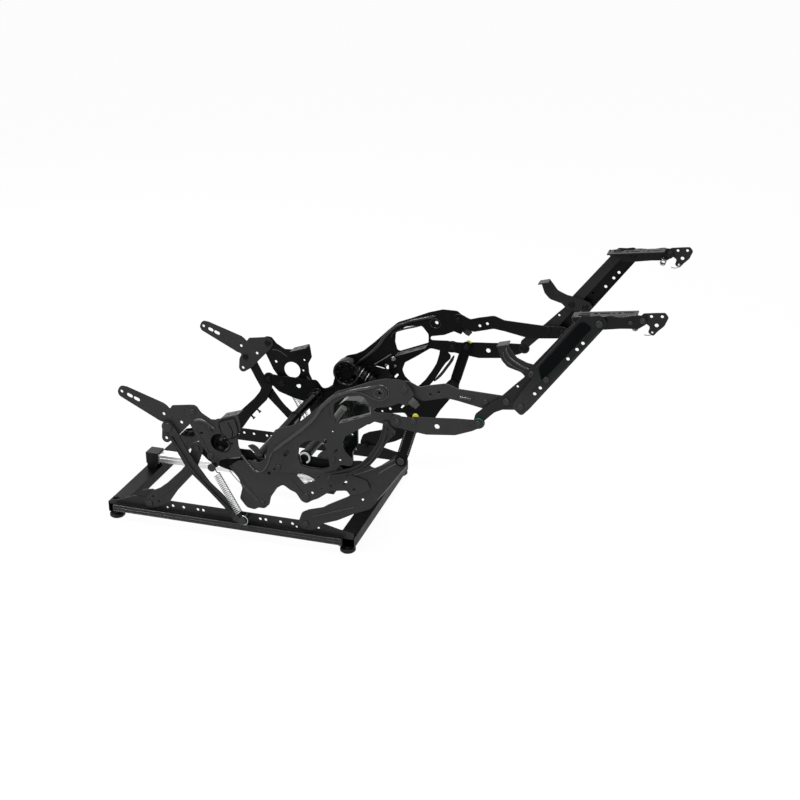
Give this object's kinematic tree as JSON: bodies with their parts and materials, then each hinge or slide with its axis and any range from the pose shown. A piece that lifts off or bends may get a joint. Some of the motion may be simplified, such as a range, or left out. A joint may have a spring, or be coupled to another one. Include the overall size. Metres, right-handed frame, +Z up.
{
  "type": "recliner mechanism",
  "caption": "Power recliner mechanism with base frame, seat plates, back plates, folding footrest linkage and linear actuator, shown with the footrest out.",
  "frame": {"origin": "centre of the bounding box at floor level, bottom of the glides", "axes": "+X towards the footrest (longest extent), +Y towards the sitter's left, +Z up"},
  "size_m": [1.4051, 0.5514, 0.7176],
  "materials": {
    "base_black": "satin black paint",
    "rail_black": "satin black paint",
    "link_black": "satin black paint",
    "link_grey": "satin dark grey paint",
    "plate_grey": "satin dark grey paint",
    "zinc": "bright zinc",
    "alu": "mill finish",
    "glide_black": "matt",
    "motor_grey": "matt",
    "washer_green": "matt",
    "washer_yellow": "matt"
  },
  "bodies": {
    "base": {"rear_crossmember": "base_black", "front_crossmember": "base_black", "glide_rear_right": "glide_black", "glide_rear_left": "glide_black", "glide_front_right": "glide_black", "glide_front_left": "glide_black", "base_rail_right": "rail_black", "base_rail_left": "rail_black", "actuator_rail": "alu", "actuator_cap": "glide_black", "actuator_motor": "motor_grey", "spring_right": "zinc", "spring_left": "zinc"},
    "rear_lift": {"rear_lift_right": "link_black", "rear_lift_left": "link_black"},
    "front_lift": {"front_lift_right": "link_grey", "front_lift_left": "link_grey"},
    "curved_link": {"curved_link_right": "link_grey", "curved_link_left": "link_grey"},
    "carriage": {"carriage_plate_right": "plate_grey", "carriage_plate_left": "plate_grey", "inner_plate_right": "link_black", "inner_plate_left": "link_black", "seat_rear_right": "plate_grey", "seat_rear_left": "plate_grey", "seat_front_right": "plate_grey", "seat_front_left": "plate_grey", "brace_right": "link_grey", "brace_left": "link_grey", "clip_right": "zinc", "clip_left": "zinc", "cross_tube": "base_black", "torque_tube": "base_black", "hub_housing": "glide_black", "seat_motor": "motor_grey"},
    "back": {"back_plate_right": "plate_grey", "back_plate_left": "plate_grey"},
    "lower_link": {"lower_link_right": "link_grey", "lower_link_left": "link_grey", "knee_washer_right": "washer_green", "knee_washer_left": "washer_green", "drive_washer_right": "washer_yellow", "drive_washer_left": "washer_yellow"},
    "drive_channel": {"drive_channel_right": "link_black", "drive_channel_left": "link_black"},
    "upper_link": {"upper_link_right": "link_grey", "upper_link_left": "link_grey"},
    "knee_link": {"knee_link_right": "link_grey", "knee_link_left": "link_grey"},
    "foot_rail": {"foot_rail_right": "link_grey", "foot_rail_left": "link_grey"},
    "mid_bracket": {"mid_bracket_right": "link_black", "mid_bracket_left": "link_black"},
    "foot_bracket": {"foot_bracket_right": "link_grey", "foot_bracket_left": "link_grey"},
    "toe_right": {"toe_plate_right": "link_black"},
    "toe_left": {"toe_plate_left": "link_black"},
    "slide_block": {"slide_block": "glide_black"},
    "push_link": {"push_link": "link_black"}
  },
  "joints": [
    {"name": "lift_drive", "type": "hinge", "parent": "base", "child": "rear_lift", "pos_m": [-0.577, 0, 0.06], "axis": [0, 1, 0], "range_deg": [0, 16], "deforming": ["spring_right", "spring_left"]},
    {"name": "front_lift_pivot", "type": "hinge", "parent": "base", "child": "front_lift", "pos_m": [-0.148, 0, 0.068], "axis": [0, 1, 0], "range_deg": [0, 16.02]},
    {"name": "curved_link_pivot", "type": "hinge", "parent": "base", "child": "curved_link", "pos_m": [-0.327, 0, 0.064], "axis": [0, 1, 0], "range_deg": [0, 6.11]},
    {"name": "carriage_pivot", "type": "hinge", "parent": "rear_lift", "child": "carriage", "pos_m": [-0.433, 0, 0.236], "axis": [0, 1, 0], "range_deg": [-16.02, 0]},
    {"name": "back_pivot", "type": "hinge", "parent": "carriage", "child": "back", "pos_m": [-0.435, 0, 0.341], "axis": [0, 1, 0], "range_deg": [0, 45.04]},
    {"name": "lower_link_pivot", "type": "hinge", "parent": "carriage", "child": "lower_link", "pos_m": [0.095, 0, 0.386], "axis": [0, 1, 0], "range_deg": [0, 40.02]},
    {"name": "drive_channel_pivot", "type": "hinge", "parent": "lower_link", "child": "drive_channel", "pos_m": [0.135, 0, 0.393], "axis": [0, 1, 0], "range_deg": [-45.22, 0]},
    {"name": "upper_link_pivot", "type": "hinge", "parent": "carriage", "child": "upper_link", "pos_m": [0.1125, 0, 0.469], "axis": [0, 1, 0], "range_deg": [0, 31.62]},
    {"name": "knee_pivot", "type": "hinge", "parent": "upper_link", "child": "knee_link", "pos_m": [0.354, 0, 0.4675], "axis": [0, 1, 0], "range_deg": [-35.83, 0]},
    {"name": "foot_rail_pivot", "type": "hinge", "parent": "upper_link", "child": "foot_rail", "pos_m": [0.39, 0, 0.4645], "axis": [0, 1, 0], "range_deg": [-35.83, 0]},
    {"name": "mid_bracket_pivot", "type": "hinge", "parent": "knee_link", "child": "mid_bracket", "pos_m": [0.4104, 0, 0.541], "axis": [0, 1, 0], "range_deg": [0, 35.83]},
    {"name": "foot_bracket_pivot", "type": "hinge", "parent": "foot_rail", "child": "foot_bracket", "pos_m": [0.557, 0, 0.682], "axis": [0, 1, 0], "range_deg": [0, 35.83]},
    {"name": "actuator_slide", "type": "slide", "parent": "base", "child": "slide_block", "axis": [1, 0, 0], "range_m": [0, 0.02507]},
    {"name": "push_link_pivot", "type": "hinge", "parent": "slide_block", "child": "push_link", "pos_m": [-0.387, 0, 0.102], "axis": [0, 1, 0], "range_deg": [0, 24.88]},
    {"name": "toe_right_hinge", "type": "hinge", "parent": "foot_bracket", "child": "toe_right", "pos_m": [0.649, 0, 0.697], "axis": [0, 1, 0], "range_deg": [0, 35], "stiffness_Nm_per_rad": 0.4, "springref_deg": -17.19},
    {"name": "toe_left_hinge", "type": "hinge", "parent": "foot_bracket", "child": "toe_left", "pos_m": [0.649, 0, 0.697], "axis": [0, 1, 0], "range_deg": [0, 35], "stiffness_Nm_per_rad": 0.4, "springref_deg": -17.19}
  ],
  "couplings": [
    {"joint": "front_lift_pivot", "follows": "lift_drive", "ratio": 1},
    {"joint": "curved_link_pivot", "follows": "lift_drive", "ratio": 0.3803},
    {"joint": "carriage_pivot", "follows": "lift_drive", "ratio": -1},
    {"joint": "back_pivot", "follows": "lift_drive", "ratio": 2.8135},
    {"joint": "lower_link_pivot", "follows": "lift_drive", "ratio": 2.5},
    {"joint": "drive_channel_pivot", "follows": "lift_drive", "ratio": -2.825},
    {"joint": "upper_link_pivot", "follows": "lift_drive", "ratio": 1.975},
    {"joint": "knee_pivot", "follows": "lift_drive", "ratio": -2.238},
    {"joint": "foot_rail_pivot", "follows": "lift_drive", "ratio": -2.238},
    {"joint": "mid_bracket_pivot", "follows": "lift_drive", "ratio": 2.238},
    {"joint": "foot_bracket_pivot", "follows": "lift_drive", "ratio": 2.238},
    {"joint": "actuator_slide", "follows": "lift_drive", "m_per_rad": 0.0894},
    {"joint": "push_link_pivot", "follows": "lift_drive", "ratio": 1.554}
  ]
}
